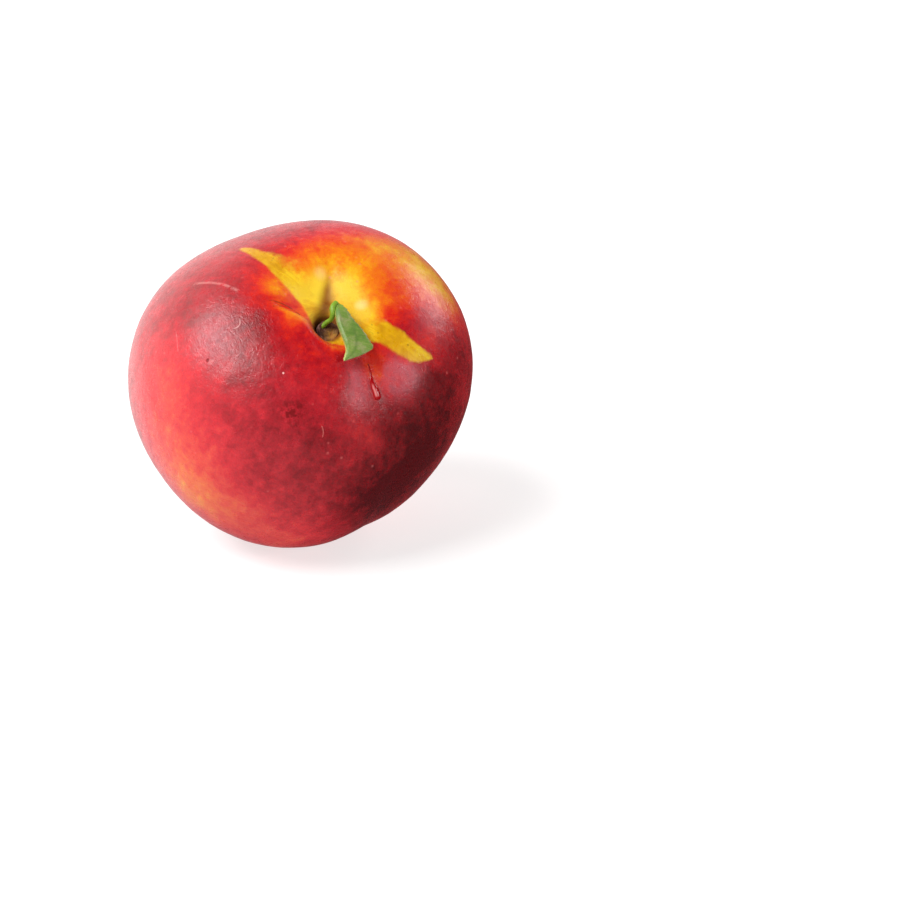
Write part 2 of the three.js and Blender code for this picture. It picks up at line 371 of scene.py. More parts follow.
def ballGrid(rings, slices, crowding):  # unit directions and quads of a ball with two poles
    downs = 180 * (np.arange(1, rings) / rings) ** crowding
    bearings = 360 * np.arange(slices) / slices - 180
    n = direction(*np.meshgrid(downs, bearings, indexing="ij")).reshape(-1, 3)
    n = np.concatenate([[[0, 0, 1]], n, [[0, 0, -1]]])
    faces = []
    last = 1 + (rings - 1) * slices
    for s in range(slices):
        t = (s + 1) % slices
        faces.append((0, 1 + s, 1 + t))
        faces.append((last, last - slices + t, last - slices + s))
        for r in range(rings - 2):
            a = 1 + r * slices
            faces.append((a + s, a + slices + s, a + slices + t, a + t))
    return n, faces


blush = {  # where the colours lie, in degrees as in fruit
    "base": 0.70,  # how red the skin is, from 0, yellow, to 1, maroon
    "patches": [  # down, bearing, more or less red, width
        (28, 80, -0.38, 17),  # orange shoulder behind the cavity
        (50, 58, -0.36, 12),  # peach patch on the right edge
        (50, 38, -0.38, 11),
        (39, 45, -0.22, 9),
        (31, 25, -0.12, 6),
        (34, 14, 0.06, 8),
        (22, 28, -0.18, 9),
        (26, 125, -0.26, 10),
        (17.5, -127, -0.31, 5.5),  # glowing top of the front lip
        (23, 179, -0.27, 8),  # orange skin between the band and the fold
        (20, -168, -0.17, 6),
        (32, -138, 0.08, 6),  # crumpled skin beside the lip
        (17, 2, -0.34, 5),  # yellow where the band leaves the cavity
        (63, -158, 0.10, 10),  # red patch at the far left
        (54, -173, 0.05, 11),
        (46, 140, 0.05, 12),
        (41, 74, -0.24, 9),
        (43, -139, 0.13, 14),  # crimson over the left cheek
        (66, -146, -0.12, 14),
        (54, -75, 0.06, 14),
        (34, -38, -0.16, 6),  # bright red below the leaf, painted light where the leaf's shadow falls
        (41, -24, -0.10, 9),
        (40, 4, -0.10, 7),
        (62, -18, 0.26, 22),  # darker right flank: deeper red skin with painted shade
        (84, -42, 0.32, 23),
        (58, -52, -0.12, 9),
        (56, -105, 0.08, 12),
        (80, -125, -0.22, 26),  # lighter left flank
        (97, -108, -0.34, 16),
        # lighter low on the front: painted light, as from the floor below
        (104, -72, -0.24, 15),
        (92, -92, -0.08, 14),
        (112, 95, -0.22, 30),  # ground colour on the shaded back
        (150, 20, -0.28, 34),
    ],
    "cavityGlow": {"less": 0.80, "width": 17, "power": 3, "start": (-2, 3)},
    "bandGlow": {"less": 0.10, "below": 1, "width": 3, "length": 40},  # the skin warms along the band
    "lipGlow": {"less": 0.20, "ahead": 1.5, "width": 1.7, "start": (-24, -17), "end": (14, 22)},
    "seamWedge": {  # its edge is in half widths
        "tip": (31.0, -29.5), "end": (23.6, -16.3), "tipHalf": 0.9, "endHalf": 5.2, "edge": (0.55, 1.35),
        "start": (-2.5, 1.5), "fade": 4, "red": 0.54, "share": 0.85,
    },
    "band": {  # its edges on the flat map, and where its upper edge melts into the cavity
        "lower": [(-42, 18.6), (-41, 17.2), (-38.6, 15.4), (-33.8, 11.8), (-30.6, 10.2), (-23.5, 4.3),
                  (-16.2, -0.5), (-10.1, -5.0), (-5.7, -9.4), (-3.0, -11.5), (2, -16.5), (7, -18.3),
                  (12, -17), (17, -13), (22.7, -9.3), (31.8, -10.0), (36.7, -9.8), (40.7, -7.4),
                  (43.2, -4), (47, 2)],
        "upper": [(-42, 18.4), (-41, 19.6), (-38.4, 19.8), (-34.0, 18.6), (-29.9, 17.6), (-23.7, 16.5),
                  (-16.5, 15.1), (-8, 13), (0, 10), (9, 6), (16.2, 2.9), (22.8, 1.4), (28.9, 0.5),
                  (35.6, -1.0), (42.6, -1.6), (47, -3)],
        "slant": 0.8,  # of the edges, which run askew on the map
        "melts": {"start": (-36, -10), "end": (16, 24), "softness": 7.0},
        "farthest": 30,
        "paler": [(-13, 0.26, 7), (17, 0.06, 8)],  # x, how much paler, width
        "palerEnd": {"more": 0.16, "start": (30, 42)},
    },
    "valleyShade": {"width": 3.6, "narrowing": 0.13, "least": 1.0, "end": (9, 19)},  # painted shade down the valley at the cavity's back
    # painted light along the left wall beside the valley
    "leftWallLight": {"aside": 4.4, "width": 3.2, "end": (12, 20)},
    "wallStart": (-3, 3),
    "shade": {"x": -0.4, "y": -1.0, "squeeze": 0.6, "width": 3.4},  # painted shade at the cavity's bottom
    "holeShade": {"x": 3.6, "y": -10, "edge": (5.8, 8.2)},  # painted shade in the gap round the stub
    "mattEnd": (11, 20),
    "paintedHaze": [(75, -150, 1.0, 30), (52, 160, 1.0, 24)],  # painted haze, a pale reflection near the left edge; down, bearing, strength, width, and so below
    # painted highlights on the left cheek, the right shoulder and the two lobes beside the seam
    "paintedHighlight": [
        (47.5, -139.5, 0.7, 8.0),
        (41.0, -149.0, 0.3, 7.0),
        (39.0, 14.5, 0.6, 5.5),
        (32.5, -53.0, 0.8, 3.6),
        (37.5, -52.5, 1.0, 4.2),
        (41.5, -54.0, 0.6, 3.6),
        (36.5, -27.0, 1.0, 5.0),
        (41.5, -28.5, 1.0, 5.4),
        (40.5, -20.5, 0.9, 4.6),
    ],
    "wrinkled": [(42, -138, 0.5, 14), (31, -140, 0.9, 7)],
    "wrinkledAll": 0.10,
    "wrinkledHighlight": {"more": 0.5, "before": -8},  # only on the front, where y is below this
    "coolStart": (24, 46),  # how far down the skin turns from warm tones to cool ones
    "keptWarm": [(62, -18, 42), (46, 45, 20)],  # down, bearing, width
    "streakLength": 60,
}


def spotSum(n, spots):  # each spot is down, bearing, strength, width
    return sum(strength * bell(degreesFrom(n, *place), width) for *place, strength, width in spots)


def insideBand(x, y):  # how far above the band's lower edge, and how far below its upper edge
    band = blush["band"]
    melts = band["melts"]
    fade = ramp(*melts["start"], x) * (1 - ramp(*melts["end"], x))
    above = (y - np.interp(x, *zip(*band["lower"]))) * band["slant"]
    below = (np.interp(x, *zip(*band["upper"])) - y) * band["slant"] / (1 + melts["softness"] * fade)
    return above, below


def seamWedge(x, y):  # the clear bright wedge where the seam runs into the cavity
    w = blush["seamWedge"]
    reach = np.subtract(w["end"], w["tip"])
    length = np.hypot(*reach)
    along = ((x - w["tip"][0]) * reach[0] + (y - w["tip"][1]) * reach[1]) / length
    aside = abs((y - w["tip"][1]) * reach[0] - (x - w["tip"][0]) * reach[1]) / length
    half = w["tipHalf"] + (w["endHalf"] - w["tipHalf"]) * np.clip(along / length, 0, 1)
    ends = ramp(*w["start"], along) * (1 - ramp(length, length + w["fade"], along))
    return (1 - ramp(*w["edge"], aside / half)) * ends


def ripeness(n, down, x, y, above, wedge):
    ripe = blush["base"] + spotSum(n, blush["patches"])
    front = behindLip(x, y)
    glow = blush["cavityGlow"]
    inside = ramp(*glow["start"], np.minimum(front, above))
    ripe -= glow["less"] * np.exp(-(down / glow["width"]) ** glow["power"]) * inside
    glow = blush["bandGlow"]
    ripe -= glow["less"] * bell(above + glow["below"], glow["width"]) * bell(x, glow["length"])
    glow = blush["lipGlow"]
    ends = ramp(*glow["start"], x) * (1 - ramp(*glow["end"], x))
    ripe -= glow["less"] * bell(front + glow["ahead"], glow["width"]) * ends
    seam = blush["seamWedge"]
    return ripe + (seam["red"] - ripe) * seam["share"] * wedge


def storeBand(made, x, above, below):
    band = blush["band"]
    tone = sum(more * bell(x - place, width) for place, more, width in band["paler"])
    store(made, "bandTone", tone + band["palerEnd"]["more"] * ramp(*band["palerEnd"]["start"], x))
    store(made, "bandAbove", np.clip(above, -band["farthest"], band["farthest"]))
    store(made, "bandBelow", np.clip(below, -band["farthest"], band["farthest"]))


def storeCavity(made, down, x, y):
    valleyShade, wall, shade, rim = (blush[name] for name in ("valleyShade", "leftWallLight", "shade", "holeShade"))
    along, aside = alongRay(x, y, fruit["backValley"]["bearing"])
    start = ramp(*blush["wallStart"], along)
    width = np.maximum(valleyShade["width"] - valleyShade["narrowing"] * down, valleyShade["least"])
    # painted shade down the valley behind the stub
    store(made, "valleyShade", bell(aside, width) * start * (1 - ramp(*valleyShade["end"], down)))
    # painted light on the left wall beside the valley
    walled = bell(aside - wall["aside"], wall["width"]) * start
    store(made, "leftWallLight", walled * (1 - ramp(*wall["end"], down)))
    # painted shade at the cavity's bottom and in the gap round the stub
    shaded = bell(np.hypot(x - shade["x"], (y - shade["y"]) * shade["squeeze"]), shade["width"])
    inHole = 1 - ramp(*rim["edge"], np.hypot(x - rim["x"], y - rim["y"]))
    store(made, "cavityShade", np.maximum(shaded, inHole))
    store(made, "matt", 1 - ramp(*blush["mattEnd"], down))


def storeFinish(made, n, down, y, wedge):
    # painted highlights
    paintedHighlight = np.clip(spotSum(n, blush["paintedHighlight"]), 0, 1)
    onHighlight = blush["wrinkledHighlight"]["more"] * paintedHighlight * (y < blush["wrinkledHighlight"]["before"])
    cool = ramp(*blush["coolStart"], down)
    for *place, width in blush["keptWarm"]:
        cool = cool * (1 - bell(degreesFrom(n, *place), width))
    # painted haze near the left edge
    store(made, "paintedHaze", spotSum(n, blush["paintedHaze"]))
    store(made, "paintedHighlight", paintedHighlight * (1 - wedge))
    store(made, "cool", cool * (1 - wedge))
    store(made, "wrinkled", blush["wrinkledAll"] + spotSum(n, blush["wrinkled"]) + onHighlight)


def storeColours(made, n):
    down, bearing, x, y = flatMap(n)
    above, below = insideBand(x, y)
    wedge = seamWedge(x, y)
    store(made, "ripe", ripeness(n, down, x, y, above, wedge))
    storeBand(made, x, above, below)
    storeCavity(made, down, x, y)
    storeFinish(made, n, down, y, wedge)
    store(made, "facing", n)
    store(made, "streaks", np.stack([np.cos(bearing), np.sin(bearing), down / blush["streakLength"]], -1))


skin = {
    "sockets": {
        "Specular IOR Level": 0.36,
        "Subsurface Weight": 0.08,
        "Subsurface Radius": (1.0, 0.35, 0.15),
        "Subsurface Scale": 3 * mm,
        "Sheen Weight": 0.03,
        "Sheen Roughness": 0.25,
    },
    "noises": {  # scale, detail, roughness, distortion
        "clouds": (130, 2, 0.50, 0.4),
        "blots": (380, 3, 0.55, 0.5),
        "fleck": (950, 2, 0.60, 0.0),
        "speck": (2400, 1, 0.50, 0.0),
        "pores": (2800, 2, 0.50, 0.0),
        "dents": (620, 3, 0.55, 0.6),
    },
    "stretched": {  # how far each is squeezed, and then as above
        "lines": ((15, 15, 3.2), (1.0, 3, 0.55, 0.5)),  # run down from the stem
        "wrinkles": ((17, 17, 96), (1.0, 3, 0.55, 0.9)),  # run round it
    },
    "leather": (30, 4, 0.62, 1.6),
    "broken": {"clouds": 0.28, "blots": 0.34, "fleck": 0.22, "speck": 0.08, "lines": 0.14},
    "tones": [  # redness, the warm tone, the cool one
        (0.00, (236, 188, 36), (232, 176, 74)),
        (0.14, (228, 158, 24), (228, 146, 68)),
        (0.27, (224, 116, 16), (226, 110, 68)),
        (0.41, (216, 74, 18), (218, 74, 64)),
        (0.55, (204, 34, 20), (204, 44, 54)),
        (0.70, (170, 14, 24), (170, 30, 42)),
        (0.84, (132, 6, 16), (132, 18, 28)),
        (1.00, (84, 3, 9), (84, 10, 18)),
    ],
    "bandEdges": {"bandAbove": (-0.5, 1.1), "bandBelow": (-0.3, 1.0)},
    "bandRagged": {"fleck": 1.0, "blots": 1.4},
    "bandMix": {"blots": 0.6, "lines": 0.4},
    "gold": [(0.32, (184, 128, 2)), (0.50, (206, 150, 8)), (0.72, (232, 190, 30))],
    "russet": {"blots": (0.60, 0.70), "speck": (0.45, 0.60), "share": 0.50, "colour": (120, 76, 20)},
    "cavity": [  # field, share, colour: painted light on the left wall, painted shade in the valley and at the cavity's bottom
        ("leftWallLight", 0.70, (248, 214, 50)),
        ("valleyShade", 0.92, (142, 86, 0)),
        ("cavityShade", 0.80, (96, 22, 8)),
    ],
    # painted haze: a pale reflection laid into the colour
    "paintedHaze": {"blots": (0.25, 0.70), "least": 0.40, "share": 0.10, "colour": (236, 150, 140)},
    # painted highlight colour, with uneven edges
    "paintedHighlight": {"mix": {"clouds": 0.5, "blots": 0.5}, "range": (0.36, 0.62), "least": 0.55, "share": 0.28,
              "colour": (222, 132, 146)},
    "paleDots": {"scale": 330, "edge": (0.15, 0.0375), "few": (0.60, 0.64), "share": 0.30,
                 "colour": (236, 120, 116)},
    "scuffs": {"mix": {"leather": 0.6, "fleck": 0.4}, "range": (0.35, 0.65)},
    "roughness": (0.25, 0.37),
    "mattRoughness": 0.30,
    "relief": {"leather": 0.35, "wrinkledLeather": 0.25, "wrinkles": 0.8, "paleDots": -0.10, "pit": -1.5},
    "fineRelief": {"pores": 0.20, "dents": 0.5},
    "bump": (0.6, 0.24 * mm),  # strength, distance
}
marks = {  # places are down and bearing, and widths and radii are in millimetres
    "blotch": {"at": (48.1, -88), "reach": (0.8, 3.6), "fleck": (0.46, 0.60), "share": 0.8,
               "colour": (108, 0, 4)},
    "worn": (0.30, 0.50),  # how the fleck breaks up the arcs
    "arcSolid": 0.2,  # the share of an arc's width that is solid, and of its length that fades
    "arcFade": 0.35,
    "arcs": [  # three places, half width, share, colour
        ([(53.6, -175.9), (40.1, -172.4), (34.3, -166.3)], 0.50, 0.36, (236, 156, 150)),  # scar on the cheek
        ([(58.5, -154.6), (59.1, -149.4), (60.0, -144.9)], 0.16, 0.30, (240, 150, 150)),
        ([(49.8, -74.2), (51.6, -72.9), (54.1, -72.9)], 0.13, 0.42, (236, 150, 140)),
        ([(46.1, -49.1), (45.8, -47.0), (44.8, -45.4)], 0.12, 0.35, (236, 130, 120)),
        ([(35.9, -146.5), (36.6, -141.6), (39.0, -141.2)], 0.18, 0.40, (246, 190, 184)),  # pale hook
        ([(24.3, -158), (18.2, -152.8), (13.6, -128)], 0.26, 0.80, (120, 44, 12)),  # brown line of the fold behind the lip, partly painted shade in the fold
        ([(29.4, -59.6), (32.8, -58.4), (36.3, -59.6)], 0.45, 0.30, (90, 4, 14)),  # dark wrinkle
    ],
    "pit": {"at": (51.6, -133.9), "reach": (0.1, 0.45), "share": 0.70, "colour": (96, 14, 20)},
    "pitRim": {"at": (50.9, -132.4), "reach": (0.2, 0.8), "outside": (0.6, 0.1), "share": 0.18,
               "colour": (238, 170, 170)},
    "spots": [  # place, inner and outer radius, share, colour
        ((37.0, -100.4), (0.08, 0.30), 0.80, (255, 196, 190)),  # white speck on the front
        ((20.2, -150.5), (0.10, 0.35), 0.70, (104, 58, 12)),  # brown specks left of the fold
        ((22.6, -150.0), (0.10, 0.30), 0.60, (110, 52, 14)),
        ((34.0, -6.7), (0.10, 0.40), 0.55, (120, 76, 10)),  # and on the band
        ((23.0, -12.4), (0.10, 0.35), 0.50, (124, 80, 10)),
        ((13.7, 21.8), (0.30, 2.00), 0.40, (255, 222, 160)),  # painted highlight, a glint on the right wall
        ((16.2, 118.0), (0.30, 2.20), 0.22, (255, 214, 170)),  # and a painted highlight at the top of the left one
        ((28.2, -34.5), (0.60, 3.60), 0.55, (252, 44, 18)),  # painted light lifting the leaf's shadow: clear red beside the leaf's end
    ],
}


def skinNoises(tree, place, facing):
    noises = {name: grain(tree, place, *settings) for name, settings in skin["noises"].items()}
    streaks = attribute(tree, "streaks", "Vector")
    for name, (squeeze, settings) in skin["stretched"].items():
        noises[name] = grain(tree, stretched(tree, streaks, squeeze), *settings)
    noises["leather"] = grain(tree, facing, *skin["leather"])
    return noises


def arcMark(tree, facing, places, halfWidth):  # 1 along a thin arc
    a, b, c = (Vector(direction(*place)) for place in places)
    axis = (b - a).cross(c - a).normalized()
    level = axis.dot(a)
    middle = (a + c).normalized()
    reach = middle.dot(a)

    def dot(way):
        return reckon(tree, "VectorMath", "DOT_PRODUCT", facing, way).outputs["Value"]
    share = halfWidth / (fruit["meanRadius"] / mm) * math.sqrt(1 - level ** 2)
    aside = number(tree, "ABSOLUTE", number(tree, "SUBTRACT", dot(axis), level))
    within = softStep(tree, dot(middle), reach, reach + (1 - reach) * marks["arcFade"])
    return times(tree, softStep(tree, aside, share, share * marks["arcSolid"]), within)


def spotMark(tree, facing, place, reach):  # 1 within the inner radius, 0 beyond the outer one
    away = reckon(tree, "VectorMath", "DISTANCE", facing, tuple(direction(*place))).outputs["Value"]
    inner, outer = (radius / (fruit["meanRadius"] / mm) for radius in reach)
    return softStep(tree, away, outer, inner)


def groundColour(tree, facing, noises):  # yellow to maroon, broken by the noises
    redness = plus(tree, attribute(tree, "ripe"), mixed(tree, noises, skin["broken"], 0.5))
    warm = colourRamp(tree, redness, [(position, tone) for position, tone, _ in skin["tones"]])
    cool = colourRamp(tree, redness, [(position, tone) for position, _, tone in skin["tones"]])
    colour = blend(tree, attribute(tree, "cool"), warm, cool)
    blotch = marks["blotch"]
    share = times(tree, spotMark(tree, facing, blotch["at"], blotch["reach"]),
                  softStep(tree, noises["fleck"], *blotch["fleck"]), blotch["share"])
    return tint(tree, share, colour, blotch["colour"])


def goldBand(tree, noises, colour):  # the skin that a branch kept in the shade
    ragged = mixed(tree, noises, skin["bandRagged"], 0.5)
    onBand = times(tree, *(softStep(tree, plus(tree, attribute(tree, name), ragged), *edge)
                           for name, edge in skin["bandEdges"].items()))
    tone = plus(tree, mixed(tree, noises, skin["bandMix"]), attribute(tree, "bandTone"))
    colour = blend(tree, onBand, colour, colourRamp(tree, tone, skin["gold"]))
    # painted light on the left wall, painted shade in the valley and at the cavity's bottom
    for name, share, cavityTone in skin["cavity"]:
        colour = tint(tree, times(tree, attribute(tree, name), share), colour, cavityTone)
    russet = skin["russet"]
    share = times(tree, softStep(tree, noises["blots"], *russet["blots"]), onBand,
                  softStep(tree, noises["speck"], *russet["speck"]), russet["share"])
    return onBand, tint(tree, share, colour, russet["colour"])


# painted haze near the edge and painted highlights, laid into the colour
def paintedHazeAndHighlight(tree, noises, colour):
    paintedHaze, paintedHighlight = skin["paintedHaze"], skin["paintedHighlight"]
    uneven = softStep(tree, noises["blots"], *paintedHaze["blots"], paintedHaze["least"], 1.0)
    share = times(tree, attribute(tree, "paintedHaze"), uneven, paintedHaze["share"])
    colour = tint(tree, share, colour, paintedHaze["colour"])
    uneven = softStep(tree, mixed(tree, noises, paintedHighlight["mix"]), *paintedHighlight["range"], paintedHighlight["least"], 1.0)
    share = times(tree, attribute(tree, "paintedHighlight"), uneven, paintedHighlight["share"])
    return tint(tree, share, colour, paintedHighlight["colour"])


def paleDots(tree, place, onBand, colour):
    p = skin["paleDots"]
    cells = put(tree, "TexVoronoi", Vector=place, Scale=p["scale"])
    dots = softStep(tree, cells.outputs["Distance"], *p["edge"])
    few = softStep(tree, put(tree, "SeparateColor", Color=cells.outputs["Color"]).outputs[0], *p["few"])
    share = times(tree, dots, few, number(tree, "SUBTRACT", 1.0, onBand), p["share"])
    return dots, tint(tree, share, colour, p["colour"])


def oldMarks(tree, facing, noises, colour):
    worn = softStep(tree, noises["fleck"], *marks["worn"])
    for places, halfWidth, share, tone in marks["arcs"]:
        colour = tint(tree, times(tree, arcMark(tree, facing, places, halfWidth), worn, share), colour, tone)
    pit, rim = marks["pit"], marks["pitRim"]
    inPit = spotMark(tree, facing, pit["at"], pit["reach"])
    onRim = times(tree, spotMark(tree, facing, rim["at"], rim["reach"]),
                  softStep(tree, inPit, *rim["outside"]), rim["share"])
    colour = tint(tree, onRim, colour, rim["colour"])
    colour = tint(tree, times(tree, inPit, pit["share"]), colour, pit["colour"])
    for place, reach, share, tone in marks["spots"]:
        colour = tint(tree, times(tree, spotMark(tree, facing, place, reach), share), colour, tone)
    return inPit, colour


def skinFinish(tree, shader, noises, dots, pit):  # waxy, and finely wrinkled like leather
    relief, scuffs = skin["relief"], skin["scuffs"]
    waxy = softStep(tree, mixed(tree, noises, scuffs["mix"]), *scuffs["range"], *skin["roughness"])
    matt = times(tree, attribute(tree, "matt"), skin["mattRoughness"])
    feed(tree, shader.inputs["Roughness"], plus(tree, waxy, matt))
    wrinkled = attribute(tree, "wrinkled")
    leather = plus(tree, times(tree, wrinkled, relief["wrinkledLeather"]), relief["leather"])
    height = plus(
        tree,
        times(tree, noises["leather"], leather),
        mixed(tree, noises, skin["fineRelief"]),
        times(tree, noises["wrinkles"], wrinkled, relief["wrinkles"]),
        times(tree, dots, relief["paleDots"]),
        times(tree, pit, relief["pit"]),
    )
    addBump(tree, shader, *skin["bump"], height)


def skinMaterial():
    material, tree, shader = newMaterial("nectarineSkin", skin["sockets"])
    place, facing = objectPlace(tree), attribute(tree, "facing", "Vector")
    noises = skinNoises(tree, place, facing)
    colour = groundColour(tree, facing, noises)
    onBand, colour = goldBand(tree, noises, colour)
    colour = paintedHazeAndHighlight(tree, noises, colour)
    dots, colour = paleDots(tree, place, onBand, colour)
    pit, colour = oldMarks(tree, facing, noises, colour)
    feed(tree, shader.inputs["Base Color"], colour)
    skinFinish(tree, shader, noises, dots, pit)
    return material


def makeFruit():
    n, faces = ballGrid(fruit["rings"], fruit["slices"], fruit["crowding"])
    radius = skinRadius(n)
    for fineness, height, shift in fruit["lumps"]:
        radius = radius + height * np.array([noise.noise(Vector(d) * fineness + Vector(shift)) for d in n])
    verts = placeRow(n * radius[:, None])
    verts[:, 2] = np.maximum(verts[:, 2], 0)  # pressed flat where it rests
    made = meshObject("nectarine", verts, faces, skinMaterial())
    storeColours(made, n)
    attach(made, "root")
    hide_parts("fruit")


makeFruit()
print("fruit made")


def smoothPath(points, count):  # a centripetal curve through the points, at even steps of length
    p = [np.array(q, float) for q in points]
    p = [2 * p[0] - p[1]] + p + [2 * p[-1] - p[-2]]
    fine = []
    for i in range(1, len(p) - 2):
        a, b, c, d = p[i - 1:i + 3]
        ab, bc, cd = (max(np.linalg.norm(v) ** 0.5, 1e-6) for v in (b - a, c - b, d - c))
        startPull = (b - a) / ab - (c - a) / (ab + bc) + (c - b) / bc
        endPull = (c - b) / bc - (d - b) / (bc + cd) + (d - c) / cd
        for t in np.linspace(0, 1, 40, endpoint=False):
            h = (2 * t**3 - 3 * t**2 + 1, t**3 - 2 * t**2 + t, -2 * t**3 + 3 * t**2, t**3 - t**2)
            fine.append(h[0] * b + h[1] * bc * startPull + h[2] * c + h[3] * bc * endPull)
    fine = np.array(fine + [p[-2]])
    lengths = np.concatenate([[0], np.cumsum(np.linalg.norm(np.diff(fine, axis=0), axis=1))])
    wanted = np.linspace(0, lengths[-1], count)
    path = np.stack([np.interp(wanted, lengths, fine[:, k]) for k in range(3)], -1)
    tangents = np.gradient(path, axis=0)
    return path, tangents / np.linalg.norm(tangents, axis=1)[:, None]


def sleeveFaces(rings, around):  # from ring to ring, then a flat face at the start and one at the end
    faces = []
    for ring in range(rings - 1):
        for k in range(around):
            a, b = ring * around + k, ring * around + (k + 1) % around
            faces.append((a, a + around, b + around, b))
    faces.append(tuple(range(around)))
    faces.append(tuple(reversed(range((rings - 1) * around, rings * around))))
    return faces


trickle = {
    "path": [(30.2, -39.8), (33.2, -41.0), (36.2, -42.5), (38.4, -42.7), (40.4, -42.5), (42.3, -42.5),
             (43.8, -42.7)],  # down, bearing
    "halfWidths": [0.12, 0.18, 0.30, 0.52, 0.76, 0.86, 0.80],
    "height": 0.75,  # as a share of the half width
    "rounding": 0.1,  # the share of its length in which its end closes
    "openEnd": 0.002,  # the share of the area that its end face keeps
    "rows": 72,
    "around": 20,
    "gleam": {"angle": 62, "width": 10, "start": (0.50, 0.62), "end": (0.84, 0.92)},  # a painted highlight along the drop, in degrees and shares
    "colour": (160, 3, 12),
    "gleamColour": (255, 172, 168),
    "sockets": {"Roughness": 0.12},
}


def juiceMaterial():
    material, tree, shader = newMaterial("driedJuice", trickle["sockets"])
    # the gleam is a painted highlight
    colour = tint(tree, attribute(tree, "gleam"), paint(*trickle["colour"]), trickle["gleamColour"])
    feed(tree, shader.inputs["Base Color"], colour)
    return material


def trickleWidths(shares):
    widths = np.interp(shares, np.linspace(0, 1, len(trickle["halfWidths"])), trickle["halfWidths"])
    closing = np.clip((shares - 1 + trickle["rounding"]) / trickle["rounding"], 0, 1)
    return widths * np.sqrt(np.clip(1 - closing ** 2, trickle["openEnd"], 1)) * mm


def makeTrickle():
    rows, around, gleam = trickle["rows"], trickle["around"], trickle["gleam"]
    directions, steps = smoothPath([direction(*spot) for spot in trickle["path"]], rows)
    directions = directions / np.linalg.norm(directions, axis=1)[:, None]
    shares = np.linspace(0, 1, rows)
    verts, lit = [], []
    for n, step, width, share in zip(directions, steps, trickleWidths(shares), shares):
        side = np.cross(step, n)
        side = side / np.linalg.norm(side)
        bright = ramp(*gleam["start"], share) * (1 - ramp(*gleam["end"], share))
        for k in range(around):
            angle = 2 * math.pi * k / around
            rise = trickle["height"] * width * math.sin(angle)
            verts.append(n * (skinRadius(n) + rise) + side * width * math.cos(angle))
            lit.append(bell(math.degrees(angle) - gleam["angle"], gleam["width"]) * bright)
    made = meshObject("juiceTrickle", placeRow(verts), sleeveFaces(rows, around), juiceMaterial())
    store(made, "gleam", lit)
    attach(made, "root")


makeTrickle()
print("trickle made")


stub = {  # in millimetres, in the fruit's own frame
    "foot": (1.18, -3.25, 20.98),
    "top": (2.0, -5.03, 26.01),
    "radius": 2.3,
    "taper": (0.86, 0.06),  # share of the radius at the foot, and what it gains by the top
    "flare": {"out": 0.3, "up": 0.78, "width": 0.16},
    "knobs": [(0.09, 3, 4), (0.07, 5, -7)],  # height, how many, twist
    "lumps": (0.10, 3, 9),  # height, closeness round it, closeness along it
    "dish": 0.28,
    "dishRings": (0.05, 9),  # height, closeness
    "freshWood": (1.1, -0.5, -0.2),  # from the middle of the cut
    "freshWidth": 1.5,
    "around": 120,
    "up": 60,
    "capRings": 14,
    "fibres": (1800, 4, 0.65),
    "fibreSqueeze": (1, 1, 0.35),
    "patches": (700, 3, 0.6),
    "bark": [(0.32, (26, 8, 6)), (0.50, (76, 34, 22)), (0.68, (150, 112, 100))],
    "barkMix": {"fibres": 0.6, "patches": 0.4},
    "cut": [(0.34, (110, 70, 14)), (0.52, (176, 126, 34)), (0.70, (150, 74, 24))],
    "bump": (0.8, 0.3 * mm),
    "sockets": {"Roughness": 0.8},
}


def barkMaterial():
    material, tree, shader = newMaterial("stalkBark", stub["sockets"])
    place = objectPlace(tree)
    fibres = grain(tree, stretched(tree, place, stub["fibreSqueeze"]), *stub["fibres"])
    patches = grain(tree, place, *stub["patches"])
    weathered = mixed(tree, {"fibres": fibres, "patches": patches}, stub["barkMix"])
    bark, cut = colourRamp(tree, weathered, stub["bark"]), colourRamp(tree, patches, stub["cut"])
    feed(tree, shader.inputs["Base Color"], blend(tree, attribute(tree, "freshWood"), bark, cut))
    addBump(tree, shader, *stub["bump"], fibres)
    return material


def stubSpot(up, angle, share, rise, length):  # on a stub that stands upright on its foot
    base, gain = stub["taper"]
    flare = stub["flare"]
    radius = stub["radius"] * (base + gain * up) + flare["out"] * bell(up - flare["up"], flare["width"])
    for height, count, twist in stub["knobs"]:
        radius += height * math.sin(count * angle + twist * up)
    height, closeRound, closeAlong = stub["lumps"]
    place = Vector((closeRound * math.cos(angle), closeRound * math.sin(angle), closeAlong * up))
    radius += height * noise.noise(place)
    return Vector((math.cos(angle) * radius * share, up * length + rise, math.sin(angle) * radius * share))


def stubRings():  # how far up each ring is, its share of the radius, and the dish of the cut
    rings = [(step / stub["up"], 1.0, 0.0) for step in range(stub["up"] + 1)]
    height, closeness = stub["dishRings"]
    for step in range(1, stub["capRings"]):
        share = 1 - step / stub["capRings"]
        rings.append((1.0, share, height * math.sin(closeness * share) - stub["dish"] * (1 - share ** 2)))
    return rings


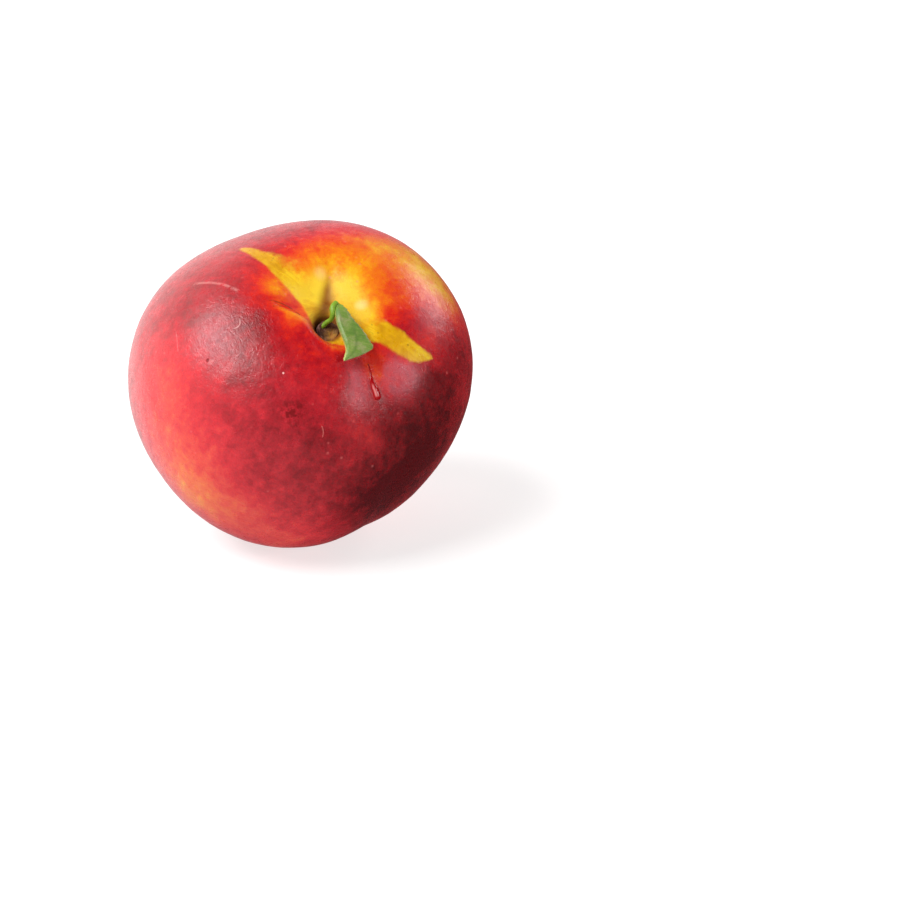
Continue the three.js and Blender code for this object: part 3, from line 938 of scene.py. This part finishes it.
def makeStalk():
    foot, top = Vector(stub["foot"]), Vector(stub["top"])
    around, length = stub["around"], (top - foot).length
    turn = Vector((0, 1, 0)).rotation_difference(top - foot).to_matrix()
    freshAt = Vector((0, length, 0)) + turn.transposed() @ Vector(stub["freshWood"])
    rings = stubRings()
    verts, fresh = [], []
    for row, (up, share, rise) in enumerate(rings):
        for angle in np.linspace(0, 2 * math.pi, around, endpoint=False):
            spot = stubSpot(up, angle, share, rise, length)
            verts.append(foot + turn @ spot)
            fresh.append(bell((spot - freshAt).length, stub["freshWidth"]) if row > stub["up"] else 0.0)
    faces = sleeveFaces(len(rings), around)[:-1]
    last = len(verts) - around
    faces += [(last + k, len(verts), last + (k + 1) % around) for k in range(around)]  # a fan closes the cut
    verts.append(sum(verts[last:], Vector()) / around)
    fresh.append(1.0)
    made = meshObject("stalkStub", placeRow(np.array([tuple(v) for v in verts]) * mm), faces, barkMaterial())
    store(made, "freshWood", fresh)
    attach(made, "root")
    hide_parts("stalk")


makeStalk()
print("stalk made")


leaf = {  # in millimetres, in the fruit's own frame
    "midrib": [(1.53, -0.23, 29.58), (2.49, -2.63, 30.3), (3.59, -4.81, 30.18), (4.99, -6.83, 30.05),
               (6.28, -8.6, 29.91), (7.2, -11.27, 30.35), (7.19, -13.53, 29.67)],
    "reachesTowards": (0.82, 0.57, 0.10),
    "openHalf": (5.1, 0.85, 3),  # width, share of the way where it is widest, fullness of its end
    "foldedHalf": (1.4, 0.3, 2),
    "taper": 0.75,  # how sharply each half starts at the petiole
    "ribHalfWidth": 0.25,
    "ribWidth": 0.09,  # as a share of the half blade
    "ribThickness": 0.75,
    "thickness": 0.3,
    "edgeThinning": 0.5,
    "foldAngle": 125,
    "foldLength": 1.2,
    "droop": 0.016,
    "wave": 0.22,
    "waves": 2.5,
    "teeth": 11,
    "toothDepth": 0.22,
    "teethEnd": 0.97,
    "rows": 132,
    "columns": 36,
    "petiole": [(0.52, -4.15, 24.5), (0.5, -4.42, 25.75), (0.96, -3.89, 26.81), (1.7, -3.43, 28.17),
                (1.64, -2.77, 29.25), (1.21, -1.56, 29.6), (1.53, -0.23, 29.58)],
    "petioleRadius": 0.58,
    "petioleSwell": {"least": 0.9, "more": 0.35, "start": (0.45, 0.8)},  # it broadens into the blade
    "petioleGroove": {"depth": 0.16, "width": 0.25},  # the channel along its upper side
    "petioleRings": 60,
    "petioleAround": 24,
    "petioleGreen": {"share": 0.85, "end": (0.0, 0.22)},  # how far its green runs into the blade
    "petioleAcross": 0.3,  # where across the blade the petiole takes its vein pattern from
    "clouds": (460, 3, 0.6),
    "cells": (3200, 2, 0.5),
    "mix": {"clouds": 0.75, "cells": 0.25},
    "green": [(0.36, (80, 116, 36)), (0.50, (104, 130, 48)), (0.62, (132, 138, 84))],
    "petioleColour": (112, 148, 22),
    "fresh": {"along": (0.6, 1.0), "across": (0.55, 0.1), "share": 0.7, "colour": (110, 144, 44)},
    "veins": {"closeness": 34.0, "slant": 0.16, "width": 0.22, "share": 0.14, "colour": (196, 184, 110)},
    "paleFold": {"across": (-0.30, -0.60), "share": 0.6},  # the folded edge, as pale as the veins
    "crease": {"start": (0.45, 0.62), "end": (1.0, 0.12), "width": 0.06, "fade": 0.1, "share": 0.55,
               "colour": (58, 92, 30)},  # its ends are shares along and across
    "margin": {"edge": (0.93, 1.0), "share": 0.7, "colour": (150, 112, 62)},
    "relief": (-0.7, 0.3),  # of the veins and of the cells
    "bump": (0.6, 0.2 * mm),
    "sockets": {
        "Roughness": 0.5,
        "Subsurface Weight": 0.15,
        "Subsurface Radius": (0.4, 1.0, 0.2),
        "Subsurface Scale": 1 * mm,
    },
}


def leafLines(tree, along, across):  # side veins slanting towards the tip, and the pale fold
    v, fold = leaf["veins"], leaf["paleFold"]
    slant = number(tree, "SUBTRACT", along, times(tree, number(tree, "ABSOLUTE", across), v["slant"]))
    wave = number(tree, "ABSOLUTE", number(tree, "SINE", times(tree, slant, v["closeness"])))
    veins = times(tree, softStep(tree, wave, v["width"], 0.0), v["share"])
    return number(tree, "MAXIMUM", veins, softStep(tree, across, *fold["across"], 0.0, fold["share"]))


def leafMaterial():
    material, tree, shader = newMaterial("leafBlade", leaf["sockets"])
    place, along, across = objectPlace(tree), attribute(tree, "alongLeaf"), attribute(tree, "acrossLeaf")
    noises = {name: grain(tree, place, *leaf[name]) for name in ("clouds", "cells")}
    lines = leafLines(tree, along, across)
    fresh, crease, margin = leaf["fresh"], leaf["crease"], leaf["margin"]
    freshShare = times(tree, softStep(tree, along, *fresh["along"]), softStep(tree, across, *fresh["across"]),
                       fresh["share"])
    browned = softStep(tree, number(tree, "ABSOLUTE", across), *margin["edge"], 0.0, margin["share"])
    colour = colourRamp(tree, mixed(tree, noises, leaf["mix"]), leaf["green"])
    colour = tint(tree, freshShare, colour, fresh["colour"])
    colour = tint(tree, lines, colour, leaf["veins"]["colour"])
    colour = tint(tree, times(tree, attribute(tree, "crease"), crease["share"]), colour, crease["colour"])
    colour = tint(tree, browned, colour, margin["colour"])
    colour = tint(tree, attribute(tree, "petioleShare"), colour, leaf["petioleColour"])
    feed(tree, shader.inputs["Base Color"], colour)
    veinRelief, cellRelief = leaf["relief"]
    height = plus(tree, times(tree, lines, veinRelief), times(tree, noises["cells"], cellRelief))
    addBump(tree, shader, *leaf["bump"], height)
    return material


def halfWidthShare(along, widestAt, fullness):
    if along < widestAt:
        return (along / widestAt) ** leaf["taper"]
    return 1 - ((along - widestAt) / (1 - widestAt)) ** fullness


def bladeSpot(origin, tangent, along, across):  # a place on the blade's middle sheet, and which way it faces
    out = Vector(leaf["reachesTowards"]).normalized()
    up = tangent.cross(out).normalized()
    tooth = (along * leaf["teeth"]) % 1 * (along < leaf["teethEnd"])
    toothed = leaf["toothDepth"] * tooth * abs(across) ** 3
    width, widestAt, fullness = leaf["foldedHalf"] if across < 0 else leaf["openHalf"]
    share = halfWidthShare(along, widestAt, fullness)
    distance = abs(across) * (leaf["ribHalfWidth"] + width * share) + toothed
    if across >= 0:
        ripple = leaf["wave"] * math.sin(2 * math.pi * leaf["waves"] * along) * across ** 2
        lift = ripple * share - leaf["droop"] * distance ** 2
        return origin + out * distance + up * lift, (up + out * 2 * leaf["droop"] * distance).normalized()
    bend = min(distance, leaf["foldLength"])
    radius = leaf["foldLength"] / math.radians(leaf["foldAngle"])
    turned = bend / radius
    aside = radius * math.sin(turned) + (distance - bend) * math.cos(turned)
    sunk = radius * (1 - math.cos(turned)) + (distance - bend) * math.sin(turned)
    return origin - out * aside - up * sunk, up * math.cos(turned) - out * math.sin(turned)


def bladeSheet():
    path, tangents = smoothPath(leaf["midrib"], leaf["rows"] + 1)
    verts, along, across = [], [], []
    for side in (1, -1):
        for row in range(leaf["rows"] + 1):
            share = row / leaf["rows"]
            for place in np.linspace(-1, 1, leaf["columns"] + 1):
                spot, normal = bladeSpot(Vector(path[row]), Vector(tangents[row]), share, place)
                rib = (leaf["ribThickness"] - leaf["thickness"]) * bell(place, leaf["ribWidth"]) * (1 - share)
                thin = leaf["thickness"] * (1 - leaf["edgeThinning"] * abs(place) ** 6)
                verts.append(spot + normal * side * (thin + rib) / 2)
                along.append(share)
                across.append(place)
    return verts, along, across


def bladeFaces():  # the upper and the lower sheet, and a wall all the way round their edge
    rows, columns = leaf["rows"], leaf["columns"] + 1
    count = (rows + 1) * columns
    faces = []
    for row in range(rows):
        for column in range(leaf["columns"]):
            a, b = row * columns + column, (row + 1) * columns + column
            faces.append((a, b, b + 1, a + 1))
            faces.append((a + count, a + 1 + count, b + 1 + count, b + count))

    def wall(a, b):
        faces.append((a, a + count, b + count, b))
    for row in range(rows):
        wall(row * columns, (row + 1) * columns)
        wall((row + 2) * columns - 1, (row + 1) * columns - 1)
    for column in range(leaf["columns"]):
        wall(column + 1, column)
        wall(rows * columns + column, rows * columns + column + 1)
    return faces


def petioleTube():
    around, swell, groove = leaf["petioleAround"], leaf["petioleSwell"], leaf["petioleGroove"]
    path, tangents = smoothPath(leaf["petiole"], leaf["petioleRings"])
    verts = []
    side = Vector((1, 0, 0))
    for step, (spot, tangent) in enumerate(zip(path, tangents)):
        t = Vector(tangent)
        side = (side - side.dot(t) * t).normalized()
        other = side.cross(t)
        swollen = swell["least"] + swell["more"] * ramp(*swell["start"], step / len(path))
        for k in range(around):
            angle = 2 * math.pi * k / around
            grooved = 1 - groove["depth"] * bell(math.cos(angle) - 1, groove["width"])
            radius = leaf["petioleRadius"] * grooved * swollen
            verts.append(Vector(spot) + (side * math.cos(angle) + other * math.sin(angle)) * radius)
    return verts, sleeveFaces(len(path), around)


def makeLeaf():
    green, crease = leaf["petioleGreen"], leaf["crease"]
    verts, along, across = bladeSheet()
    tubeVerts, tubeFaces = petioleTube()
    faces = bladeFaces() + [tuple(len(verts) + k for k in face) for face in tubeFaces]
    petiole = [green["share"] * (1 - ramp(*green["end"], share)) for share in along] + [1.0] * len(tubeVerts)
    along = np.array(along + [0.0] * len(tubeVerts))
    across = np.array(across + [leaf["petioleAcross"]] * len(tubeVerts))
    verts += tubeVerts
    made = meshObject("foldedLeaf", placeRow(np.array([tuple(v) for v in verts]) * mm), faces, leafMaterial())
    (start, startAcross), (end, endAcross) = crease["start"], crease["end"]
    offset = across - np.interp(along, [start, end], [startAcross, endAcross])
    begun = ramp(start - crease["fade"], start + crease["fade"], along)
    store(made, "alongLeaf", along)
    store(made, "acrossLeaf", across)
    store(made, "petioleShare", petiole)
    store(made, "crease", bell(offset, crease["width"]) * begun)
    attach(made, "root")
    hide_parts("leaf")


makeLeaf()
print("leaf made")


studio = {
    "floorSide": 40.0,
    "floorTones": [(0.3, (172, 171, 170)), (0.7, (176, 175, 174))],
    "floorGrain": (30, 3),
    "floorSockets": {
        "Emission Color": (1, 1, 1, 1),
        "Emission Strength": 0.68,
        "Roughness": 0.9,
        "Specular IOR Level": 0.1,
    },
    "roomGlow": 0.04,
    "glows": [  # way there, start and end of the fade, strength
        ((-0.62, 0.76, 0.10), (0.50, 0.96), 1.45),  # white backdrop behind and to the left
        ((-0.85, -0.40, -0.34), (-0.1, 0.6), 0.32),  # paler table on the left
    ],
    "lights": [  # name, way there (right, up, towards the camera), way it is long, distance, sides, glow
        ("keyLight", (-0.52, 0.62, 0.58), (-0.32, 0.44, -0.85), 3.0, (1.6, 2.1), 12.0),
        ("rightLight", (0.86, 0.16, 0.48), (-0.52, 0.0, 0.85), 3.0, (0.7, 1.2), 8.0),
        ("shoulderLight", (0.70, 0.62, -0.35), (0.0, 0.15, -0.99), 3.0, (1.3, 1.3), 6.2),
    ],
}


def makeFloor():
    material, tree, shader = newMaterial("paleFloor", studio["floorSockets"])
    tone = colourRamp(tree, grain(tree, objectPlace(tree), *studio["floorGrain"]), studio["floorTones"])
    feed(tree, shader.inputs["Base Color"], tone)
    half = studio["floorSide"] / 2
    corners = [(-half, -half, 0), (half, -half, 0), (half, half, 0), (-half, half, 0)]
    floor = meshObject("floor", corners, [(0, 1, 2, 3)], material)
    floor.visible_glossy = False  # a plain floor mirrored in the waxy skin looks like dust


def lightRoom():
    world = bpy.data.worlds.new("studio")
    bpy.context.scene.world = world
    world.use_nodes = True
    tree = world.node_tree
    background = tree.nodes["Background"]
    background.inputs["Color"].default_value = (1, 1, 1, 1)
    around = put(tree, "TexCoord").outputs["Generated"]
    glows = []
    for way, fade, strength in studio["glows"]:
        facing = reckon(tree, "VectorMath", "DOT_PRODUCT", around, way).outputs["Value"]
        glows.append(softStep(tree, facing, *fade, 0.0, strength))
    feed(tree, background.inputs["Strength"], plus(tree, *glows, studio["roomGlow"]))


def softbox(name, way, longWay, distance, sides, glow):
    data = bpy.data.lights.new(name, "AREA")
    data.shape = "RECTANGLE"
    data.size, data.size_y = sides
    data.energy = glow * math.pi * sides[0] * sides[1]
    made = bpy.data.objects.new(name, data)
    back = cameraWay(*way).normalized()
    across = cameraWay(*longWay).cross(back).normalized()
    turn = Matrix((across, back.cross(across), back)).transposed().to_4x4()
    made.matrix_world = Matrix.Translation(fruit["centre"] + back * distance) @ turn
    bpy.context.scene.collection.objects.link(made)


makeFloor()
print("floor laid")
lightRoom()
for light in studio["lights"]:
    softbox(*light)
bpy.context.scene.view_settings.view_transform = "Standard"
print("studio lit")
